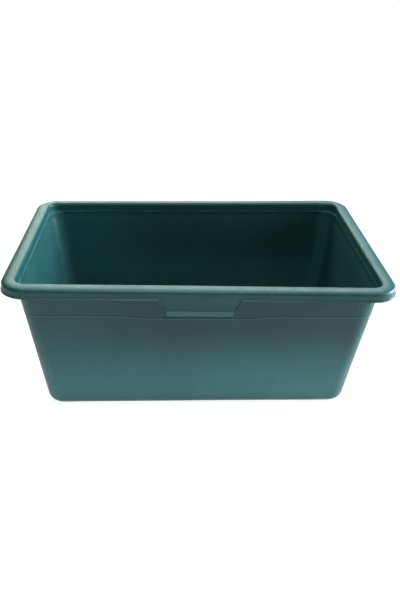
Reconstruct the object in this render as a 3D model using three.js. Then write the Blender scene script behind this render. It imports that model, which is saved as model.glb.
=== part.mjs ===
// A rectangular mortar mixing tub that holds about 85 litres: a tapered thin-walled tub, a broad rolled rim,
// and a trapezoid grip plate hanging from the rim's skirt on each long side.
//
// Millimetres, +Z up. The origin is at the middle of the underside of the floor; the long sides face -Y
// (front) and +Y (rear).

import * as THREE from 'three';

// Overall size over the rim
const RIM_LENGTH = 780;
const RIM_WIDTH = 490;
const HEIGHT = 318;
const GAP = 0.3; // clearance between neighbouring solids

// Rim: a skirt outside, a rounded crest and a collar that slopes down into the tub
const RIM_CORNER = 53; // plan radius of the rim's outer corners
const RIM_SKIN = 3.2;
const SKIRT_DEPTH = 21;
const CREST_START = 19; // inset of the crest's flat band from the rim's outer edge
const CREST_END = 23.5;
const CROWN_RADIUS = 40; // outwards of the flat band
const SHOULDER_RADIUS = 7; // where the crown turns down into the skirt
const OPENING_RADIUS = 6; // where the flat band turns down into the tub
const COLLAR_DEPTH = 22.7;
const COLLAR_SLOPE = THREE.MathUtils.degToRad(2);

// Tub: plain walls, steeper on the long sides, a rounded foot, a ledge under the collar and one raised line outside
const WALL = 3.2;
const FLOOR = 4;
const SIDE_INSET = 27.5; // outer face of the long walls, from the rim's outer edge, at the ledge
const END_INSET = 28; // the same for the short walls
const SIDE_DRAFT = THREE.MathUtils.degToRad(5);
const END_DRAFT = THREE.MathUtils.degToRad(7);
const TOP_CORNER = 36; // plan radius of the wall's outer corners at the ledge
const BOTTOM_CORNER = 34;
const FOOT_RADIUS = 20; // between the wall and the floor, outside
const LEDGE_DEPTH = COLLAR_DEPTH + GAP;
const LINE_DEPTH = 76; // raised line, below the rim's crest
const LINE_HEIGHT = 5;
const LINE_PROUD = 1.2;

// Grips: a plate in the plane of the skirt, a lip along its foot and a web behind each end
const GRIP_TOP_WIDTH = 162;
const GRIP_FOOT_WIDTH = 135;
const GRIP_DEPTH = 34; // below the skirt, lip included
const GRIP_SKIN = 3.2;
const LIP_HEIGHT = 8;
const LIP_TAPER = 5; // each end of the lip, over its height
const LIP_PROUD = 3; // beyond the rim's outer edge
const LIP_THICKNESS = 7;
const LIP_BEVEL = 1;
const WEB_THICKNESS = 3;
const WEB_INSET = 7; // from the end of the plate's foot to the web's centre
const LEDGE_CLEARANCE = 1.5; // from the upper back corner of the web to the back of the collar

// Facets
const CORNER_STEPS = 10;
const ARC_DIVISIONS = 3; // a section's arc has twice as many segments
const FOOT_STEPS = 5;

const PLASTIC = { color: 0x3f6f70, roughness: 0.5, metalness: 0 };
const PLASTIC_RIM = { color: 0x4a7c78, roughness: 0.45, metalness: 0 };

const tub = new THREE.Group();

function addMesh(parent, name, geometry, finish) {
  const mesh = new THREE.Mesh(geometry, new THREE.MeshStandardMaterial(finish));
  mesh.name = name;
  parent.add(mesh);
  return mesh;
}

// One rounded rectangle at height z, counter-clockwise seen from above
function roundedRing(halfLength, halfWidth, radius, z) {
  const points = [];
  for (let corner = 0; corner < 4; corner += 1) {
    const centreX = (corner === 0 || corner === 3 ? 1 : -1) * (halfLength - radius);
    const centreY = (corner < 2 ? 1 : -1) * (halfWidth - radius);
    for (let step = 0; step <= CORNER_STEPS; step += 1) {
      const angle = (corner + step / CORNER_STEPS) * (Math.PI / 2);
      points.push([centreX + radius * Math.cos(angle), centreY + radius * Math.sin(angle), z]);
    }
  }
  return points;
}

// Skin over a run of rings with equal point counts. A closed run meets its own start; an open one gets flat ends.
function loft(rings, closed) {
  const count = rings[0].length;
  const vertices = rings.flat(2);
  const triangles = [];
  const runs = closed ? rings.length : rings.length - 1;
  for (let ring = 0; ring < runs; ring += 1) {
    const near = ring * count;
    const far = ((ring + 1) % rings.length) * count;
    for (let point = 0; point < count; point += 1) {
      const next = (point + 1) % count;
      triangles.push(near + point, near + next, far + next, near + point, far + next, far + point);
    }
  }
  if (!closed) {
    const last = (rings.length - 1) * count;
    const firstCentre = vertices.length / 3;
    vertices.push(0, 0, rings[0][0][2], 0, 0, rings.at(-1)[0][2]);
    for (let point = 0; point < count; point += 1) {
      const next = (point + 1) % count;
      triangles.push(firstCentre, next, point, firstCentre + 1, last + point, last + next);
    }
  }
  const geometry = new THREE.BufferGeometry();
  geometry.setAttribute('position', new THREE.Float32BufferAttribute(vertices, 3));
  geometry.setIndex(triangles);
  geometry.computeVertexNormals();
  return geometry;
}

// Rim ---------------------------------------------------------------------------------------------

// A ring parallel to the rim's outer edge, from a point (inset, height above the crest)
function rimRing(inset, rise) {
  return roundedRing(RIM_LENGTH / 2 - inset, RIM_WIDTH / 2 - inset, RIM_CORNER - inset, HEIGHT + rise);
}

// Inset of the collar's inner face at a depth below the crest
function collarInset(depth) {
  const turnEnd = CREST_END + OPENING_RADIUS * Math.cos(COLLAR_SLOPE);
  const turnDepth = OPENING_RADIUS * (1 - Math.sin(COLLAR_SLOPE));
  return turnEnd + (depth - turnDepth) * Math.tan(COLLAR_SLOPE);
}

const COLLAR_FOOT = collarInset(COLLAR_DEPTH);
const COLLAR_BACK = COLLAR_FOOT - RIM_SKIN / Math.cos(COLLAR_SLOPE);

// The shoulder touches the crown from inside, so the two arcs' centres and their meeting point lie on one line
const CROWN_TURN = Math.asin((CREST_START - SHOULDER_RADIUS) / (CROWN_RADIUS - SHOULDER_RADIUS));
const SHOULDER_DROP = CROWN_RADIUS - (CROWN_RADIUS - SHOULDER_RADIUS) * Math.cos(CROWN_TURN);

// x is the inset from the rim's outer edge and y the height above its crest
function rimSection() {
  const path = new THREE.Path();
  const arc = (x, y, radius, from, to) => path.absarc(x, y, radius, from, to, to < from);
  const [top, crownEnd] = [Math.PI / 2, Math.PI / 2 + CROWN_TURN];
  path.moveTo(0, -SKIRT_DEPTH);
  arc(SHOULDER_RADIUS, -SHOULDER_DROP, SHOULDER_RADIUS, Math.PI, crownEnd);
  arc(CREST_START, -CROWN_RADIUS, CROWN_RADIUS, crownEnd - CROWN_TURN / 4, top);
  arc(CREST_END, -OPENING_RADIUS, OPENING_RADIUS, top, COLLAR_SLOPE);
  path.lineTo(COLLAR_FOOT, -COLLAR_DEPTH);
  path.lineTo(COLLAR_BACK, -COLLAR_DEPTH);
  arc(CREST_END, -OPENING_RADIUS, OPENING_RADIUS - RIM_SKIN, COLLAR_SLOPE, top);
  arc(CREST_START, -CROWN_RADIUS, CROWN_RADIUS - RIM_SKIN, top, crownEnd);
  arc(SHOULDER_RADIUS, -SHOULDER_DROP, SHOULDER_RADIUS - RIM_SKIN, crownEnd + CROWN_TURN / 4, Math.PI);
  path.lineTo(RIM_SKIN, -SKIRT_DEPTH);
  return path.getPoints(ARC_DIVISIONS);
}

addMesh(tub, 'rolled_rim', loft(rimSection().map((point) => rimRing(point.x, point.y)), true), PLASTIC_RIM);

// Tub ---------------------------------------------------------------------------------------------

const LEDGE_Z = HEIGHT - LEDGE_DEPTH;
const LEDGE_UNDERSIDE = LEDGE_Z - WALL;

// Inset of a wall's outer face from the rim's outer edge at height z
function wallInset(z, topInset, draft) {
  return topInset + (LEDGE_Z - z) * Math.tan(draft);
}

// A ring of the wall at height z, moved inwards from its outer face
function wallRing(z, inwards = 0) {
  const halfLength = RIM_LENGTH / 2 - wallInset(z, END_INSET, END_DRAFT) - inwards;
  const halfWidth = RIM_WIDTH / 2 - wallInset(z, SIDE_INSET, SIDE_DRAFT) - inwards;
  const corner = THREE.MathUtils.mapLinear(z, 0, LEDGE_Z, BOTTOM_CORNER, TOP_CORNER) - inwards;
  return roundedRing(halfLength, halfWidth, corner, z);
}

// Rings of a rounded foot, from the wall's bottom edge inwards, in climbing order
function footRings(floorZ, radius, inwards) {
  const rings = [];
  for (let step = 0; step <= FOOT_STEPS; step += 1) {
    const angle = (1 - step / FOOT_STEPS) * (Math.PI / 2);
    rings.push(wallRing(floorZ + radius * (1 - Math.sin(angle)), inwards + radius * (1 - Math.cos(angle))));
  }
  return rings;
}

function tubRings() {
  const lineZ = HEIGHT - LINE_DEPTH;
  const lineRings = [
    wallRing(lineZ - LINE_HEIGHT / 2),
    wallRing(lineZ - LINE_HEIGHT / 4, -LINE_PROUD),
    wallRing(lineZ + LINE_HEIGHT / 4, -LINE_PROUD),
    wallRing(lineZ + LINE_HEIGHT / 2),
  ];
  const ledgeRings = [
    wallRing(LEDGE_UNDERSIDE),
    rimRing(COLLAR_BACK, LEDGE_UNDERSIDE - HEIGHT),
    rimRing(COLLAR_BACK, LEDGE_Z - HEIGHT),
    wallRing(LEDGE_Z, WALL),
  ];
  const inside = footRings(FLOOR, FOOT_RADIUS - WALL, WALL).reverse();
  return [...footRings(0, FOOT_RADIUS, 0), ...lineRings, ...ledgeRings, ...inside];
}

addMesh(tub, 'tub_shell', loft(tubRings(), false), PLASTIC);

// Grips -------------------------------------------------------------------------------------------

const SKIRT_FOOT_Z = HEIGHT - SKIRT_DEPTH;
const LIP_TOP_Z = SKIRT_FOOT_Z - GRIP_DEPTH + LIP_HEIGHT;

// A symmetric trapezoid in the XZ plane, extruded towards -Y from the plane y = back
function trapezoidPlate(topWidth, footWidth, topZ, footZ, back, thickness, bevel) {
  const shape = new THREE.Shape([
    new THREE.Vector2(-topWidth / 2 + bevel, topZ - bevel),
    new THREE.Vector2(-footWidth / 2 + bevel, footZ + bevel),
    new THREE.Vector2(footWidth / 2 - bevel, footZ + bevel),
    new THREE.Vector2(topWidth / 2 - bevel, topZ - bevel),
  ]);
  const geometry = new THREE.ExtrudeGeometry(shape, {
    depth: thickness - 2 * bevel,
    bevelEnabled: bevel > 0,
    bevelSize: bevel,
    bevelThickness: bevel,
    bevelSegments: 1,
  });
  geometry.translate(0, 0, bevel);
  geometry.rotateX(Math.PI / 2);
  geometry.translate(0, back, 0);
  return geometry;
}

// A web across the finger gap, from the plate's back to the tub's wall, extruded along X. Its back edge is
// straight, and passes in front of the ledge.
function webGeometry() {
  const front = GRIP_SKIN + GAP;
  const points = [
    [front, SKIRT_FOOT_Z - GAP],
    [front, LIP_TOP_Z],
    [wallInset(LIP_TOP_Z, SIDE_INSET, SIDE_DRAFT) - GAP, LIP_TOP_Z],
    [COLLAR_BACK - LEDGE_CLEARANCE, SKIRT_FOOT_Z - GAP],
  ];
  const shape = new THREE.Shape(points.map(([inset, z]) => new THREE.Vector2(inset - RIM_WIDTH / 2, z)));
  const geometry = new THREE.ExtrudeGeometry(shape, { depth: WEB_THICKNESS, bevelEnabled: false });
  geometry.translate(0, 0, -WEB_THICKNESS / 2);
  geometry.rotateY(Math.PI / 2);
  geometry.rotateX(Math.PI / 2);
  return geometry;
}

// The grip of the front long side; the rear one is the same, turned about Z
function makeGrip(side) {
  const grip = new THREE.Group();
  const plateBack = -(RIM_WIDTH / 2 - GRIP_SKIN);
  const plate = trapezoidPlate(
    GRIP_TOP_WIDTH, GRIP_FOOT_WIDTH, SKIRT_FOOT_Z - GAP, LIP_TOP_Z + GAP, plateBack, GRIP_SKIN, 0);
  addMesh(grip, `${side}_grip_plate`, plate, PLASTIC_RIM);
  const lipBack = -(RIM_WIDTH / 2 + LIP_PROUD - LIP_THICKNESS);
  const lip = trapezoidPlate(
    GRIP_FOOT_WIDTH, GRIP_FOOT_WIDTH - 2 * LIP_TAPER, LIP_TOP_Z, LIP_TOP_Z - LIP_HEIGHT, lipBack,
    LIP_THICKNESS, LIP_BEVEL);
  addMesh(grip, `${side}_grip_lip`, lip, PLASTIC_RIM);
  for (const [hand, direction] of [['left', -1], ['right', 1]]) {
    const web = addMesh(grip, `${side}_grip_web_${hand}`, webGeometry(), PLASTIC);
    web.position.x = direction * (GRIP_FOOT_WIDTH / 2 - WEB_INSET);
  }
  return grip;
}

const frontGrip = makeGrip('front');
const rearGrip = makeGrip('rear');
rearGrip.rotation.z = Math.PI;
tub.add(frontGrip, rearGrip);

export default tub;
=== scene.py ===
import math

import bpy
import numpy as np
from mathutils import Matrix, Vector


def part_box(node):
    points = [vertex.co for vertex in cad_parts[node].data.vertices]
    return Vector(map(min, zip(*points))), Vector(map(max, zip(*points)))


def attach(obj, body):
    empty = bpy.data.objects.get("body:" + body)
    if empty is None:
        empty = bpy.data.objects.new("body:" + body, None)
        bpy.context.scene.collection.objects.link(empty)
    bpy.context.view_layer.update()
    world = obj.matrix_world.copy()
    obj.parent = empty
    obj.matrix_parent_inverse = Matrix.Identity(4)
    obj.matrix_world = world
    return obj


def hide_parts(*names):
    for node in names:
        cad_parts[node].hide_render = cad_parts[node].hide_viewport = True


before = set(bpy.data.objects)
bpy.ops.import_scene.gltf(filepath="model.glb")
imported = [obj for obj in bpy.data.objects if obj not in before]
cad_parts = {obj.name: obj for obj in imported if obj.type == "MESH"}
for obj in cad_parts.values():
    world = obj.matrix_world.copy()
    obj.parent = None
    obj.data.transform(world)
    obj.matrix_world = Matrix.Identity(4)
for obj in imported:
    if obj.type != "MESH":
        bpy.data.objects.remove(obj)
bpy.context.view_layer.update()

# Everything below is in metres, in the frame of the CAD: +Z up, long sides facing -Y and +Y.
MM = 0.001

# --- Sizes taken from the CAD ---------------------------------------------------------------------

_, rim_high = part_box("rolled_rim")
_, shell_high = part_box("tub_shell")
_, plate_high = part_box("front_grip_plate")
lip_low, lip_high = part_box("front_grip_lip")
web_low, web_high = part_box("front_grip_web_left")

HALF_LENGTH = rim_high.x
HALF_WIDTH = rim_high.y
CREST_Z = rim_high.z
LEDGE_Z = shell_high.z
LIP_TOP_Z = lip_high.z
LIP_FOOT_Z = lip_low.z
LIP_FRONT = -lip_low.y - HALF_WIDTH
LIP_HALF = lip_high.x
PLATE_HALF = plate_high.x

# --- Rim section, as insets from the outer edge and depths below the crest ------------------------

RIM_CORNER = 53 * MM
RIM_SKIN = 3.2 * MM
SKIRT_INSET = 2.1 * MM  # the skirt's face stands back, and the border along its foot fills the rest
SKIRT_DEPTH = 21 * MM
CREST_START = 19 * MM
CREST_END = 22.8 * MM
CROWN_RADIUS = 40 * MM
SHOULDER_RADIUS = 7 * MM
OPENING_RADIUS = 7.2 * MM
COLLAR_DEPTH = CREST_Z - LEDGE_Z + 0.3 * MM
COLLAR_SLOPE = math.radians(2)
SHOULDER_CENTRE = SKIRT_INSET + SHOULDER_RADIUS
CROWN_TURN = math.asin((CREST_START - SHOULDER_CENTRE) / (CROWN_RADIUS - SHOULDER_RADIUS))
SHOULDER_DROP = CROWN_RADIUS - (CROWN_RADIUS - SHOULDER_RADIUS) * math.cos(CROWN_TURN)

# Where the collar's foot meets the tub's inner face, on the ends and on the long sides
COLLAR_END = 31.4 * MM
COLLAR_SIDE = 30.7 * MM
COLLAR_BACK = 26.87 * MM
COLLAR_SKIN = 1.8 * MM
COLLAR_TIGHTER = 2.5 * MM  # how much smaller its corners get on the way down
CORNER_OPENING = 3.0 * MM  # how much larger the wall's corners are there
LEDGE_TUCK = 0.7 * MM

# Raised border along the skirt's foot, and the raised panel of a grip plate
BORDER_FLAT = 1.0 * MM
BORDER_FLANK = 1.8 * MM
BORDER_PROUD = 0.96 * SKIRT_INSET
BORDER_RISES = (0.2, 0.5, 0.8, 1.1, 1.35, 1.6, 1.85, 2.1, 2.35, 2.6, 2.85, 3.3)  # mm, rows of the mesh
PANEL_HALF = 64 * MM
PANEL_PROUD = 0.8 * MM
PLATE_FOOT_DEPTH = CREST_Z - LIP_TOP_Z
CLEAR_OF_GRIP = 1.0  # stands for a place along the rim that is not on a long side

# --- Tub walls ------------------------------------------------------------------------------------

WALL = 3.2 * MM
FLOOR = 4 * MM
SIDE_INSET = 27.5 * MM
END_INSET = 28 * MM
SIDE_DRAFT = math.tan(math.radians(5))
END_DRAFT = math.tan(math.radians(7))
TOP_CORNER = 36 * MM
BOTTOM_CORNER = 34 * MM
FOOT_RADIUS = 20 * MM
LINE_Z = CREST_Z - 76 * MM
LINE_HALF_HEIGHT = 2.6 * MM
LINE_PROUD = 0.55 * MM
LINE_DIP = 5.5 * MM
FOOT_HALF_LENGTH = HALF_LENGTH - END_INSET - LEDGE_Z * END_DRAFT
FOOT_HALF_WIDTH = HALF_WIDTH - SIDE_INSET - LEDGE_Z * SIDE_DRAFT

# --- Out of true ----------------------------------------------------------------------------------

TWIST = 9 * MM  # how far the front right and rear left corners of the crest hang
BOW = 0.9 * MM
GRIP_SHIFT = 4.5 * MM


# --- Outline columns shared by every loft ---------------------------------------------------------


def spread(stops):
    """Sorted positions from (end, step) stops, the first stop being the start."""
    values = [stops[0][0]]
    for (start, _), (end, step) in zip(stops, stops[1:]):
        count = max(1, round(abs(end - start) / step))
        values += list(np.linspace(start, end, count + 1)[1:])
    return np.array(values)


STRAIGHT = HALF_LENGTH - RIM_CORNER


def long_side_columns(fine):
    """x positions along a long side, finer where the grip's edges are."""
    step = 10 * MM
    if not fine:
        return spread([(-STRAIGHT, 0), (STRAIGHT, step)])
    half = spread([
        (0, 0), (58 * MM, 6 * MM), (62 * MM, 1 * MM), (PANEL_HALF + 1.5 * MM, 0.5 * MM),
        (LIP_HALF, 0.8 * MM), (PLATE_HALF, 0.75 * MM), (PLATE_HALF + 3 * MM, 0.75 * MM),
        (PLATE_HALF + 12 * MM, 3 * MM), (STRAIGHT, step),
    ])
    return np.concatenate([-half[::-1], half[1:]])


def outline(half_length, half_width, radius, columns, corner_steps, end_steps):
    """A rounded rectangle, counter-clockwise seen from above, starting at the left end of the front side."""
    share = columns / STRAIGHT
    ends = np.linspace(-1, 1, end_steps + 1)
    turn = np.linspace(0, math.pi / 2, corner_steps + 1)[1:-1]
    reach_x, reach_y = half_length - radius, half_width - radius
    parts = [
        np.stack([share * reach_x, np.full_like(share, -half_width)], 1),
        np.stack([reach_x + radius * np.sin(turn), -reach_y - radius * np.cos(turn)], 1),
        np.stack([np.full_like(ends, half_length), ends * reach_y], 1),
        np.stack([reach_x + radius * np.cos(turn), reach_y + radius * np.sin(turn)], 1),
        np.stack([-share * reach_x, np.full_like(share, half_width)], 1),
        np.stack([-reach_x - radius * np.sin(turn), reach_y + radius * np.cos(turn)], 1),
        np.stack([np.full_like(ends, -half_length), -ends * reach_y], 1),
        np.stack([-reach_x - radius * np.cos(turn), -reach_y - radius * np.sin(turn)], 1),
    ]
    return np.concatenate(parts)


# --- Meshes ---------------------------------------------------------------------------------------


def smooth_step(value, start, end):
    t = np.clip((value - start) / (end - start), 0, 1)
    return t * t * (3 - 2 * t)


def settle(points):
    """The slight unevenness of a thin moulding: a twisted crest, bowed edges and a front grip off the middle.
    Edges move only inwards and the crest only down, so the overall size stays."""
    x, y, z = points[:, 0].copy(), points[:, 1].copy(), points[:, 2].copy()
    rise = np.clip(z / CREST_Z, 0, 1)
    twist = 0.5 * (1 - (x / HALF_LENGTH) * (y / HALF_WIDTH))
    points[:, 2] = z - TWIST * twist * rise**2
    bow_side = 0.5 * (1 + np.sin(x * 9.1 + 1.3) * 0.6 + np.sin(x * 21.7 + z * 8.0) * 0.4)
    bow_end = 0.5 * (1 + np.sin(y * 13.3 + 0.4) * 0.7 + np.sin(y * 27.1 + z * 11.0) * 0.3)
    points[:, 1] = y - np.sign(y) * BOW * bow_side * smooth_step(np.abs(y), 0.10, 0.20)
    points[:, 0] = x - np.sign(x) * BOW * bow_end * smooth_step(np.abs(x), 0.22, 0.33)
    front_grip = (1 - smooth_step(np.abs(x), 0.09, 0.20)) * smooth_step(-y, 0.15, 0.20)
    points[:, 0] -= GRIP_SHIFT * front_grip
    return points


def make_object(name, vertices, faces, sharp_angle):
    vertices = settle(np.array(vertices, float))
    mesh = bpy.data.meshes.new(name)
    mesh.from_pydata(vertices.tolist(), [], faces)
    mesh.update()
    mesh.validate()
    mesh.polygons.foreach_set("use_smooth", [True] * len(mesh.polygons))
    mesh.set_sharp_from_angle(angle=math.radians(sharp_angle))
    piece = bpy.data.objects.new(name, mesh)
    bpy.context.scene.collection.objects.link(piece)
    return piece


def signed_volume(points, faces):
    """Negative when the faces point inwards."""
    corners = np.array([(f[0], f[i], f[i + 1]) for f in faces for i in range(1, len(f) - 1)])
    first, second, third = points[corners[:, 0]], points[corners[:, 1]], points[corners[:, 2]]
    return np.einsum("ij,ij", first, np.cross(second, third)) / 6


def loft(name, rings, closed, sharp_angle):
    """Skin over rings of equal point counts; an open run is closed with a flat fan at each end."""
    count = len(rings[0])
    vertices = np.concatenate(rings)
    faces = []
    runs = len(rings) if closed else len(rings) - 1
    for ring in range(runs):
        near = ring * count
        far = ((ring + 1) % len(rings)) * count
        faces += [
            (near + i, near + (i + 1) % count, far + (i + 1) % count, far + i) for i in range(count)
        ]
    if not closed:
        last = (len(rings) - 1) * count
        first_centre = len(vertices)
        vertices = np.concatenate([vertices, [rings[0].mean(0)], [rings[-1].mean(0)]])
        faces += [(first_centre, (i + 1) % count, i) for i in range(count)]
        faces += [(first_centre + 1, last + i, last + (i + 1) % count) for i in range(count)]
    if signed_volume(vertices, faces) < 0:
        faces = [tuple(reversed(face)) for face in faces]
    return make_object(name, vertices, faces, sharp_angle)


def arc(centre_inset, centre_height, radius, start, end, steps):
    angles = np.linspace(start, end, steps + 1)
    return [(centre_inset + radius * math.cos(a), centre_height + radius * math.sin(a)) for a in angles]


# --- Rim with both grip plates, as one seamless sweep ---------------------------------------------

CORNER_STEPS = 26
END_STEPS = 36
RIM_COLUMNS = long_side_columns(True)


def polyline_distance(x, depth, nodes):
    """Distance in the skirt's plane to the run of its foot."""
    best = np.full(np.shape(x), 1.0)
    for (x0, d0), (x1, d1) in zip(nodes, nodes[1:]):
        length = math.hypot(x1 - x0, d1 - d0)
        t = np.clip(((x - x0) * (x1 - x0) + (depth - d0) * (d1 - d0)) / length**2, 0, 1)
        best = np.minimum(best, np.hypot(x - x0 - t * (x1 - x0), depth - d0 - t * (d1 - d0)))
    return best


def build_rim():
    base = outline(HALF_LENGTH, HALF_WIDTH, RIM_CORNER, RIM_COLUMNS, CORNER_STEPS, END_STEPS)
    probe = 20 * MM
    inner = outline(HALF_LENGTH - probe, HALF_WIDTH - probe, RIM_CORNER - probe,
                    RIM_COLUMNS, CORNER_STEPS, END_STEPS)
    inward = (inner - base) / probe
    on_side = np.abs(np.abs(base[:, 1]) - HALF_WIDTH) < 1e-6
    # Distance from the grip's middle, along the rim
    x = np.where(on_side, np.abs(base[:, 0]), CLEAR_OF_GRIP)

    # Depth of the skirt's foot: it slants down at the ends of a grip, and runs on behind the lip
    drop = PLATE_FOOT_DEPTH - SKIRT_DEPTH
    slant = (PLATE_HALF - x) / (PLATE_HALF - LIP_HALF)
    foot = np.where(x < PLATE_HALF, SKIRT_DEPTH + np.clip(slant, 0, 1) * drop, SKIRT_DEPTH)
    foot = np.where(x < LIP_HALF - 0.1 * MM, PLATE_FOOT_DEPTH + 3 * MM, foot)
    steep = math.hypot(1, drop / (PLATE_HALF - LIP_HALF))
    stretch = 1 + (steep - 1) * smooth_step(x, PLATE_HALF + 3 * MM, PLATE_HALF - 1 * MM)
    foot_run = [
        (CLEAR_OF_GRIP + 0.2, SKIRT_DEPTH), (PLATE_HALF, SKIRT_DEPTH), (LIP_HALF, PLATE_FOOT_DEPTH),
    ]

    def row(inset, height):
        inset = np.broadcast_to(inset, x.shape)
        height = np.broadcast_to(height, x.shape)
        plan = base + inward * inset[:, None]
        return np.column_stack([plan, CREST_Z + height])

    # The skirt's face, from the foot up
    rises = [v * MM * stretch for v in BORDER_RISES]
    border_top = rises[-1]
    full_rise = foot - SHOULDER_DROP
    for share in (0.12, 0.24, 0.36, 0.48, 0.6, 0.72, 0.84, 0.93):
        rises.append(border_top + (full_rise - border_top) * share)
    rows = []
    for rise in rises:
        depth = foot - rise
        distance = polyline_distance(x, depth, foot_run)
        border = BORDER_PROUD * (1 - smooth_step(distance, BORDER_FLAT, BORDER_FLAT + BORDER_FLANK))
        panel = PANEL_PROUD * smooth_step(x, PANEL_HALF + 0.7 * MM, PANEL_HALF - 0.7 * MM)
        panel = panel * smooth_step(depth, SHOULDER_DROP + 0.5 * MM, SHOULDER_DROP + 5 * MM)
        rows.append(row(SKIRT_INSET - np.maximum(border, panel), -depth))

    # Shoulder, crown, flat crest and the turn into the opening
    half = math.pi / 2
    crown_end = half + CROWN_TURN
    outer = arc(SHOULDER_CENTRE, -SHOULDER_DROP, SHOULDER_RADIUS, math.pi, crown_end, 10)
    outer += arc(CREST_START, -CROWN_RADIUS, CROWN_RADIUS, crown_end, half, 7)[1:]
    outer += arc(CREST_END, -OPENING_RADIUS, OPENING_RADIUS, half, COLLAR_SLOPE, 10)
    face, depth = outer[-1]
    collar_run = COLLAR_DEPTH + depth
    rows += [row(inset, height) for inset, height in outer]

    def collar_row(share, back):
        """The collar runs down to meet the wall flush on the straights, and keeps a tighter corner."""
        end_inset = face + (COLLAR_END - face) * share - back
        side_inset = face + (COLLAR_SIDE - face) * share - back
        radius = RIM_CORNER - face - COLLAR_TIGHTER * share + back
        plan = outline(HALF_LENGTH - end_inset, HALF_WIDTH - side_inset, radius,
                       RIM_COLUMNS, CORNER_STEPS, END_STEPS)
        return np.column_stack([plan, np.full(len(plan), CREST_Z + depth - collar_run * share)])

    rows += [collar_row(share, 0) for share in (0.2, 0.45, 0.7, 1.0)]
    rows += [collar_row(share, COLLAR_SKIN) for share in (1.0, 0.6)]

    # Back through the hollow of the rim to the skirt's foot
    hollow = arc(CREST_END, -OPENING_RADIUS, OPENING_RADIUS - RIM_SKIN, COLLAR_SLOPE, half, 6)
    hollow += arc(CREST_START, -CROWN_RADIUS, CROWN_RADIUS - RIM_SKIN, half, crown_end, 5)
    hollow += arc(SHOULDER_CENTRE, -SHOULDER_DROP, SHOULDER_RADIUS - RIM_SKIN, crown_end, math.pi, 6)[1:]
    rows += [row(inset, height) for inset, height in hollow]
    back = SKIRT_INSET + RIM_SKIN
    for share in (0.2, 0.4, 0.6, 0.8, 0.93):
        rows.append(row(back, -(SHOULDER_DROP + full_rise * share)))
    rows.append(row(back, -(foot - 0.5 * MM)))
    rows.append(row(back - 0.6 * MM, -foot))
    rows.append(row(0.4 * MM, -foot))
    return loft("rim_with_grip_plates", rows, True, 50)


rim = build_rim()

# --- Tub shell ------------------------------------------------------------------------------------

SHELL_COLUMNS = long_side_columns(False)
SHELL_CORNER_STEPS = 18
SHELL_END_STEPS = 30


def wall_plan(z, inwards):
    half_length = HALF_LENGTH - END_INSET - (LEDGE_Z - z) * END_DRAFT - inwards
    half_width = HALF_WIDTH - SIDE_INSET - (LEDGE_Z - z) * SIDE_DRAFT - inwards
    radius = BOTTOM_CORNER + (TOP_CORNER - BOTTOM_CORNER) * z / LEDGE_Z - inwards
    return outline(half_length, half_width, radius, SHELL_COLUMNS, SHELL_CORNER_STEPS, SHELL_END_STEPS)


def wall_row(z, inwards=0.0):
    plan = wall_plan(z, inwards)
    return np.column_stack([plan, np.full(len(plan), z)])


def rim_row(inset, z):
    plan = outline(HALF_LENGTH - inset, HALF_WIDTH - inset, RIM_CORNER - inset,
                   SHELL_COLUMNS, SHELL_CORNER_STEPS, SHELL_END_STEPS)
    return np.column_stack([plan, np.full(len(plan), z)])


def ledge_row(across, drop):
    """The inner wall just below the collar. It meets the collar almost flush on the straights, and its wider
    corners leave a small crescent ledge there."""
    meet = 1 - smooth_step(drop, 0, 28 * MM)
    z = LEDGE_Z - drop
    corner = TOP_CORNER - WALL
    half_length = HALF_LENGTH - END_INSET - WALL - drop * END_DRAFT
    half_width = HALF_WIDTH - SIDE_INSET - WALL - drop * SIDE_DRAFT
    half_length += (HALF_LENGTH - COLLAR_END + LEDGE_TUCK - half_length) * meet
    half_width += (HALF_WIDTH - COLLAR_SIDE + LEDGE_TUCK - half_width) * meet
    plan = outline(half_length - across, half_width - across, corner + CORNER_OPENING * meet - across,
                   SHELL_COLUMNS, SHELL_CORNER_STEPS, SHELL_END_STEPS)
    return np.column_stack([plan, np.full(len(plan), z)])


def floor_rows(z, inwards, foot_radius, gate_depth):
    """From the end of the foot's turn to a small round gate mark in the middle."""
    edge = wall_plan(z, inwards + foot_radius)
    angle = np.arctan2(edge[:, 1] * 1.6, edge[:, 0])
    circle = np.column_stack([np.cos(angle), np.sin(angle)])
    rows = []
    for share in (1.0, 0.85, 0.7, 0.55, 0.4, 0.25):
        plan = edge * share + circle * 14 * MM * (1 - share)
        rows.append(np.column_stack([plan, np.full(len(plan), z)]))
    for radius, sink in ((9.0, 0), (8.2, 0), (7.6, 1), (3.0, 1), (2.2, 0.3), (1.2, 0.3)):
        rows.append(np.column_stack([circle * radius * MM, np.full(len(circle), z + gate_depth * sink)]))
    return rows


def foot_rows(floor_z, radius, inwards, steps):
    rows = []
    for step in range(steps + 1):
        angle = (1 - step / steps) * math.pi / 2
        z = floor_z + radius * (1 - math.sin(angle))
        rows.append(wall_row(z, inwards + radius * (1 - math.cos(angle))))
    return rows


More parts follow.
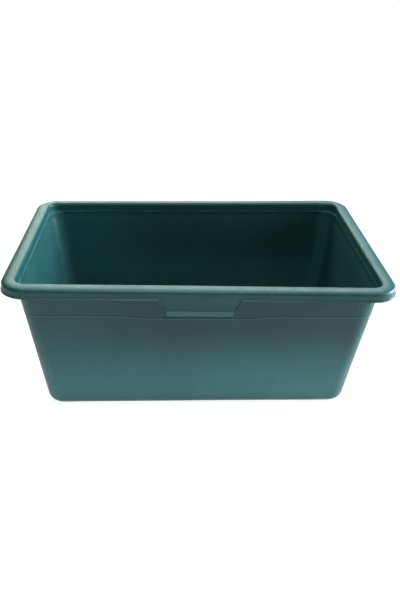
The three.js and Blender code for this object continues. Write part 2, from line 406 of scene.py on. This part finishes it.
def build_shell():
    rows = floor_rows(0.0, 0.0, FOOT_RADIUS, 0.6 * MM)[::-1]
    rows += foot_rows(0.0, FOOT_RADIUS, 0.0, 10)[1:]
    sample = wall_row(LINE_Z)
    on_side = np.abs(sample[:, 1]) > np.abs(sample[:, 1]).max() - 1e-6
    near_grip = np.where(on_side, 1 - smooth_step(np.abs(sample[:, 0]), 80 * MM, 165 * MM), 0)
    line_z = LINE_Z - LINE_DIP * near_grip
    heights = list(np.linspace(FOOT_RADIUS, LINE_Z - LINE_DIP - 5 * MM, 14)[1:])
    heights += list(np.arange(LINE_Z - LINE_DIP - 4 * MM, LINE_Z + 4 * MM, 0.65 * MM))
    heights += list(np.linspace(LINE_Z + 5 * MM, LEDGE_Z - 4.5 * MM, 5))
    for z in heights:
        offset = (z - line_z) / LINE_HALF_HEIGHT
        bump = LINE_PROUD * np.clip(1 - offset**2, 0, 1) ** 1.5
        plain, proud = wall_row(z), wall_row(z, -1 * MM)
        rows.append(plain + (proud - plain) * (bump / MM)[:, None])
    ledge_under = LEDGE_Z - WALL
    rows += [wall_row(ledge_under - 0.4 * MM), rim_row(COLLAR_BACK, ledge_under)]
    rows += [rim_row(COLLAR_BACK, LEDGE_Z - 0.5 * MM), rim_row(COLLAR_BACK + 0.5 * MM, LEDGE_Z)]
    for across, drop in ((-2.4, 0), (-1.2, 0.05), (-0.5, 0.35), (-0.15, 0.85), (0, 1.6)):
        rows.append(ledge_row(across * MM, drop * MM))
    for drop in (3, 5, 8, 12, 17, 23):
        rows.append(ledge_row(0.0, drop * MM))
    for z in np.linspace(LEDGE_Z - 32 * MM, FOOT_RADIUS + FLOOR, 16):
        rows.append(wall_row(z, WALL))
    rows += foot_rows(FLOOR, FOOT_RADIUS - WALL, WALL, 10)[::-1]
    rows += floor_rows(FLOOR, WALL, FOOT_RADIUS - WALL, -0.5 * MM)[1:]
    return loft("tub_body", rows, False, 50)


shell = build_shell()

# --- Grip lips and webs ---------------------------------------------------------------------------


def rounded_polygon(points, radius):
    """Corners of a convex polygon turned into short arcs."""
    steps = 4
    rounded = []
    count = len(points)
    for i in range(count):
        corner = np.array(points[i], float)
        before = np.array(points[i - 1], float) - corner
        after = np.array(points[(i + 1) % count], float) - corner
        reach = min(radius, np.linalg.norm(before) * 0.45, np.linalg.norm(after) * 0.45)
        start = corner + before / np.linalg.norm(before) * reach
        end = corner + after / np.linalg.norm(after) * reach
        for step in range(steps + 1):
            t = step / steps
            rounded.append((1 - t) ** 2 * start + 2 * t * (1 - t) * corner + t * t * end)
    return np.array(rounded)


LIP_CHAMFER = 4.0 * MM
LIP_TAPER = 5 * MM


def build_lip(name, side):
    """Laid over the foot of the plate, with a slope along its upper edge. Side is 1 in front, -1 behind."""
    front = -HALF_WIDTH - LIP_FRONT
    top, foot = LIP_TOP_Z + 2.0 * MM, LIP_FOOT_Z + 1.4 * MM
    section = rounded_polygon([
        (front + LIP_CHAMFER, top), (front, top - LIP_CHAMFER), (front, foot + 1.4 * MM),
        (front + 0.6 * MM, foot + 0.4 * MM), (front + 6.6 * MM, foot + 1.0 * MM), (front + 6.9 * MM, top),
    ], 0.9 * MM)
    middle = section.mean(0)
    rings = []
    shares = [(-1, 0.72), (-0.994, 0.88), (-0.982, 0.97), (-0.965, 1.0)]
    shares += [(t, 1.0) for t in np.linspace(-0.94, 0.94, 41)]
    shares += [(-t, s) for t, s in reversed(shares[:4])]
    for share, scale in shares:
        loop = middle + (section - middle) * scale
        along = (LIP_HALF - LIP_TAPER * (top - loop[:, 1]) / (top - foot)) * share
        rings.append(np.column_stack([along, loop[:, 0], loop[:, 1]]) * np.array([side, side, 1]))
    return loft(name, rings, False, 60)


def build_web(name, x, side):
    """A thin upright wall across the finger gap, from the back of the plate to the tub's wall."""
    back_low = -HALF_WIDTH + SIDE_INSET + (LEDGE_Z - LIP_TOP_Z) * SIDE_DRAFT + 0.5 * MM
    back_high = -HALF_WIDTH + 27.3 * MM
    front = -HALF_WIDTH + SKIRT_INSET + RIM_SKIN - 0.5 * MM
    section = rounded_polygon([
        (front, CREST_Z - 9 * MM), (front, LIP_TOP_Z - 1 * MM), (back_low, LIP_TOP_Z),
        (back_high, LEDGE_Z), (back_high, CREST_Z - 5 * MM), (front + 5 * MM, CREST_Z - 5 * MM),
    ], 1.0 * MM)
    middle = section.mean(0)
    rings = []
    slices = [(-1.5, 0.975), (-1.3, 0.993), (-1.0, 1.0), (0, 1.0), (1.0, 1.0), (1.3, 0.993), (1.5, 0.975)]
    for across, scale in slices:
        loop = middle + (section - middle) * scale
        rings.append(np.column_stack([np.full(len(loop), x + across * MM), loop[:, 0], loop[:, 1]])
                     * np.array([side, side, 1]))
    return loft(name, rings, False, 50)


web_x = (web_low.x + web_high.x) / 2
pieces = {
    rim: ("rolled_rim", "front_grip_plate", "rear_grip_plate"),
    shell: ("tub_shell",),
}
for side_name, side in (("front", 1), ("rear", -1)):
    pieces[build_lip(f"{side_name}_lip", side)] = (f"{side_name}_grip_lip",)
    for hand, direction in (("left", 1), ("right", -1)):
        web = build_web(f"{side_name}_web_{hand}", web_x * direction, side)
        pieces[web] = (f"{side_name}_grip_web_{hand}",)

# --- Materials ------------------------------------------------------------------------------------

PLASTIC_IOR = 1.49
PLASTIC_SPECULAR = 0.3
PLASTIC_DEEP = (0.012, 0.058, 0.060, 1)
PLASTIC_PALE = (0.016, 0.070, 0.072, 1)
PLASTIC_MOTTLE = (0.026, 0.088, 0.092, 1)
# A pale colour for wear, also used for the painted highlights on the lips and edges
PLASTIC_WEAR_AND_HIGHLIGHT = (0.070, 0.260, 0.225, 1)
# Near-black used for the painted shade under the rim
PLASTIC_SHADED = (0.006, 0.020, 0.022, 1)
# How far the lips are mixed towards the pale colour: a painted highlight
LIP_PAINTED_HIGHLIGHT = 0.36
UPPER_SHADE = 0.56


class Shading:
    """A node material, with short ways to add the textures and mixes that it is made of."""

    def __init__(self, name):
        self.material = bpy.data.materials.new(name)
        self.material.use_nodes = True
        self.nodes = self.material.node_tree.nodes
        self.links = self.material.node_tree.links
        self.shader = self.nodes["Principled BSDF"]
        self.place = self.nodes.new("ShaderNodeTexCoord").outputs["Object"]

    def feed(self, socket, value):
        """Link a socket to another, or set its value."""
        if isinstance(value, bpy.types.NodeSocket):
            self.links.new(value, socket)
        else:
            socket.default_value = value

    def noise(self, scale, detail, roughness=0.5, stretch=(1, 1, 1)):
        mapping = self.nodes.new("ShaderNodeMapping")
        mapping.inputs["Scale"].default_value = stretch
        self.links.new(self.place, mapping.inputs["Vector"])
        texture = self.nodes.new("ShaderNodeTexNoise")
        texture.inputs["Scale"].default_value = scale
        texture.inputs["Detail"].default_value = detail
        texture.inputs["Roughness"].default_value = roughness
        self.links.new(mapping.outputs["Vector"], texture.inputs["Vector"])
        return texture.outputs["Fac"]

    def ease(self, source, low, high, start=0.0, end=1.0):
        """From start to end, smoothly, as source goes from low to high."""
        element = self.nodes.new("ShaderNodeMapRange")
        element.interpolation_type = "SMOOTHSTEP"
        values = {"Value": source, "From Min": low, "From Max": high, "To Min": start, "To Max": end}
        for name, value in values.items():
            self.feed(element.inputs[name], value)
        return element.outputs["Result"]

    def maths(self, operation, first, second=0.0):
        element = self.nodes.new("ShaderNodeMath")
        element.operation = operation
        self.feed(element.inputs[0], first)
        self.feed(element.inputs[1], second)
        return element.outputs[0]

    def mix(self, share, first, second):
        element = self.nodes.new("ShaderNodeMix")
        element.data_type = "RGBA"
        # Sockets 0, 6 and 7 are the share and the two colours, and the ones between are for other data types.
        for socket, value in ((0, share), (6, first), (7, second)):
            self.feed(element.inputs[socket], value)
        return element.outputs[2]

    def bump(self, height, distance, strength, under=None, inward=False):
        element = self.nodes.new("ShaderNodeBump")
        element.inputs["Strength"].default_value = strength
        element.inputs["Distance"].default_value = distance
        element.invert = inward
        self.links.new(height, element.inputs["Height"])
        if under:
            self.links.new(under, element.inputs["Normal"])
        return element.outputs["Normal"]

    def axes(self):
        """The object's own x, y and z."""
        element = self.nodes.new("ShaderNodeSeparateXYZ")
        self.feed(element.inputs[0], self.place)
        return element.outputs[0], element.outputs[1], element.outputs[2]


def make_plastic():
    """Satin moulded polypropylene: mottled colour, fine grain, faint scuffs, paler convex edges that are
    partly wear and partly painted highlight, a painted highlight on the lips and painted shade under the rim.
    """
    plastic = Shading("tub_polypropylene")
    shader = plastic.shader
    shader.inputs["IOR"].default_value = PLASTIC_IOR
    shader.inputs["Specular IOR Level"].default_value = PLASTIC_SPECULAR

    clouds = plastic.ease(plastic.noise(6.0, 5, 0.6), 0.3, 0.7)
    mottle = plastic.ease(plastic.noise(160.0, 3, 0.6), 0.3, 0.7, 0, 0.16)
    scuffs = plastic.ease(plastic.noise(14.0, 6, 0.7, (1.0, 1.0, 7.0)), 0.57, 0.72)
    scratches = plastic.ease(plastic.noise(55.0, 4, 0.65, (1.0, 1.0, 0.06)), 0.60, 0.70)
    # Convex edges are paler, partly wear and partly a painted highlight.
    edges = plastic.ease(plastic.nodes.new("ShaderNodeNewGeometry").outputs["Pointiness"], 0.505, 0.56)
    edge_wear_and_highlight = plastic.maths("MULTIPLY", edges, plastic.ease(plastic.noise(35.0, 4, 0.6), 0.35, 0.65, 0.35, 1))

    colour = plastic.mix(clouds, PLASTIC_DEEP, PLASTIC_PALE)
    colour = plastic.mix(mottle, colour, PLASTIC_MOTTLE)
    for wear, share in ((scuffs, 0.05), (scratches, 0.02), (edge_wear_and_highlight, 0.55)):
        colour = plastic.mix(plastic.maths("MULTIPLY", wear, share), colour, PLASTIC_WEAR_AND_HIGHLIGHT)

    # Painted highlight on the lips, and painted shade under the rim on the long walls.
    x, y, z = plastic.axes()
    along, across = plastic.maths("ABSOLUTE", x), plastic.maths("ABSOLUTE", y)
    # The lips, everything proud of the skirt's face, are paler all over: a painted highlight.
    lip = plastic.ease(across, HALF_WIDTH + 0.1 * MM, HALF_WIDTH + 0.6 * MM, 0, LIP_PAINTED_HIGHLIGHT)
    colour = plastic.mix(lip, colour, PLASTIC_WEAR_AND_HIGHLIGHT)
    # The long walls are darker under the rim, less so towards the left end: a painted shade.
    upper = plastic.ease(z, 0.12, 0.21, 0, UPPER_SHADE)
    for part in (
        plastic.ease(across, 0.226, 0.230, 1, 0),
        plastic.ease(along, 0.308, 0.330, 1, 0),
        plastic.ease(x, -0.30, -0.05, 0.2, 1),
    ):
        upper = plastic.maths("MULTIPLY", upper, part)
    colour = plastic.mix(upper, colour, PLASTIC_SHADED)
    plastic.feed(shader.inputs["Base Color"], colour)

    rough = plastic.ease(plastic.noise(45.0, 4, 0.6), 0.3, 0.7, 0.34, 0.44)
    for wear, share in ((scuffs, 0.08), (edge_wear_and_highlight, 0.05)):
        rough = plastic.maths("ADD", rough, plastic.maths("MULTIPLY", wear, share))
    plastic.feed(shader.inputs["Roughness"], rough)

    normal = plastic.bump(plastic.noise(70.0, 3), 0.9 * MM, 0.25)
    normal = plastic.bump(plastic.noise(700.0, 3, 0.55), 0.25 * MM, 0.35, normal)
    normal = plastic.bump(scratches, 0.1 * MM, 0.1, normal, True)
    plastic.feed(shader.inputs["Normal"], normal)
    return plastic.material


plastic = make_plastic()
for piece, stands_for in pieces.items():
    piece.data.materials.append(plastic)
    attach(piece, "root")
    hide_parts(*stands_for)

# --- Stage ----------------------------------------------------------------------------------------

FLOOR_HALF = 30.0
WALL_RADIUS = 29.0
WALL_HEIGHT = 24.0
WALL_SIDES = 48
STAGE_DROP = 0.3 * MM  # keeps the paper clear of the tub's underside
PAPER_GREY = (0.40, 0.40, 0.40, 1)

# The paper's own glow, which stands for light bounced around the set
NEAR_GLOW = 2.5  # in a band in front of the tub
NEAR_TINT = (0.52, 0.94, 1.0, 1)
CLOSE_GLOW = 0.9  # right beside the tub
FRONT_GLOW = 0.66
REAR_GLOW = 0.42
FAR_GLOW = 1.0
WHITE = (1, 1, 1, 1)


def make_paper():
    """Pale paper that glows, most of all in a band in front of the tub."""
    paper = Shading("studio_paper")
    paper.shader.inputs["Base Color"].default_value = PAPER_GREY
    paper.shader.inputs["Roughness"].default_value = 0.9
    x, y, _ = paper.axes()
    beyond = []
    for place, half in ((x, FOOT_HALF_LENGTH), (y, FOOT_HALF_WIDTH)):
        past = paper.maths("SUBTRACT", paper.maths("ABSOLUTE", place), half)
        beyond.append(paper.maths("POWER", paper.maths("MAXIMUM", past, 0), 2))
    distance = paper.maths("SQRT", paper.maths("ADD", *beyond))

    front = paper.ease(y, -FOOT_HALF_WIDTH - 0.03, -FOOT_HALF_WIDTH, 1, 0)
    band = paper.maths("MULTIPLY", paper.ease(distance, 0.005, 0.03), paper.ease(distance, 0.08, 0.20, 1, 0))
    band = paper.maths("MULTIPLY", band, front)
    level = paper.ease(y, -0.3, 0.3, FRONT_GLOW, REAR_GLOW)
    pale = paper.ease(distance, 0.07, 0.20, CLOSE_GLOW, level)
    glow = paper.maths("ADD", pale, paper.maths("MULTIPLY", band, NEAR_GLOW - CLOSE_GLOW))
    glow = paper.maths("MAXIMUM", glow, paper.ease(distance, 0.8, 2.8, 0, FAR_GLOW))
    paper.feed(paper.shader.inputs["Emission Color"], paper.mix(band, WHITE, NEAR_TINT))
    paper.feed(paper.shader.inputs["Emission Strength"], glow)
    return paper.material


def stage_piece(name, points, faces, material):
    mesh = bpy.data.meshes.new(name)
    mesh.from_pydata(points, [], faces)
    mesh.materials.append(material)
    piece = bpy.data.objects.new(name, mesh)
    bpy.context.scene.collection.objects.link(piece)
    piece.location.z = -STAGE_DROP
    return piece


def make_stage():
    """A floor, and a round wall that closes the view behind it but lights nothing."""
    material = make_paper()
    square = [(sx * FLOOR_HALF, sy * FLOOR_HALF, 0) for sx, sy in ((-1, -1), (1, -1), (1, 1), (-1, 1))]
    stage_piece("studio_floor", square, [(0, 1, 2, 3)], material)

    turns = [2 * math.pi * i / WALL_SIDES for i in range(WALL_SIDES)]
    circle = [(WALL_RADIUS * math.cos(turn), WALL_RADIUS * math.sin(turn)) for turn in turns]
    points = [(x, y, z) for z in (0, WALL_HEIGHT) for x, y in circle]
    quads = []
    for i in range(WALL_SIDES):
        following = (i + 1) % WALL_SIDES
        quads.append((i, following, following + WALL_SIDES, i + WALL_SIDES))
    wall = stage_piece("studio_wall", points, quads, material)
    wall.visible_diffuse = wall.visible_glossy = wall.visible_shadow = False


make_stage()

# --- Light ----------------------------------------------------------------------------------------

LIGHT_AIM = Vector((0, 0, 0.15))  # about the middle of the tub
WORLD_STRENGTH = 0.04


def softbox(name, azimuth, elevation, distance, size, power, colour):
    """Azimuth 0 is over the camera's side (-Y), 90 to the right (+X)."""
    a, e = math.radians(azimuth), math.radians(elevation)
    direction = Vector((math.sin(a) * math.cos(e), -math.cos(a) * math.cos(e), math.sin(e)))
    light = bpy.data.lights.new(name, "AREA")
    light.shape = "RECTANGLE"
    light.size, light.size_y = size
    light.energy = power
    light.color = colour
    lamp = bpy.data.objects.new(name, light)
    lamp.location = LIGHT_AIM + direction * distance
    lamp.rotation_mode = "QUATERNION"
    lamp.rotation_quaternion = direction.to_track_quat("Z", "Y")
    bpy.context.scene.collection.objects.link(lamp)


softbox("right_key", 94, 18, 2.5, (0.9, 0.9), 172, (0.70, 0.90, 1.0))
softbox("rear_top", 180, 46, 3.0, (3.2, 1.5), 118, (0.88, 1.0, 0.91))
softbox("rear_right", 150, 50, 3.0, (1.6, 1.6), 8, (0.75, 1.0, 0.86))
softbox("rear_low", -174, 18, 2.6, (1.8, 0.9), 22, (0.78, 1.0, 0.84))
softbox("front_top", 0, 72, 2.5, (0.9, 0.9), 36, (0.85, 0.95, 0.92))

world = bpy.data.worlds.new("studio")
bpy.context.scene.world = world
world.use_nodes = True
world.node_tree.nodes["Background"].inputs["Color"].default_value = WHITE
world.node_tree.nodes["Background"].inputs["Strength"].default_value = WORLD_STRENGTH

bpy.context.scene.view_settings.view_transform = "Standard"

# --- Camera ---------------------------------------------------------------------------------------

SENSOR = 36  # mm, along the frame's longer side
LENS = 37.704  # mm


def make_camera(position, yaw, pitch, roll):
    """In radians: yaw turns towards +X, pitch looks down and roll tilts the frame."""
    flat = math.cos(pitch)
    forward = Vector((math.sin(yaw) * flat, math.cos(yaw) * flat, -math.sin(pitch)))
    level = Vector((math.cos(yaw), -math.sin(yaw), 0))
    down = forward.cross(level)
    right = level * math.cos(roll) + down * math.sin(roll)
    down = down * math.cos(roll) - level * math.sin(roll)
    data = bpy.data.cameras.new("photo_view")
    data.sensor_width = SENSOR
    data.lens = LENS
    camera = bpy.data.objects.new("photo_view", data)
    basis = Matrix((right, -down, -forward)).transposed()
    camera.matrix_world = Matrix.Translation(position) @ basis.to_4x4()
    bpy.context.scene.collection.objects.link(camera)
    bpy.context.scene.camera = camera


make_camera(Vector((-0.0719, -1.2790, 0.8925)), yaw=0.0640, pitch=0.5219, roll=-0.0328)

bpy.context.view_layer.update()
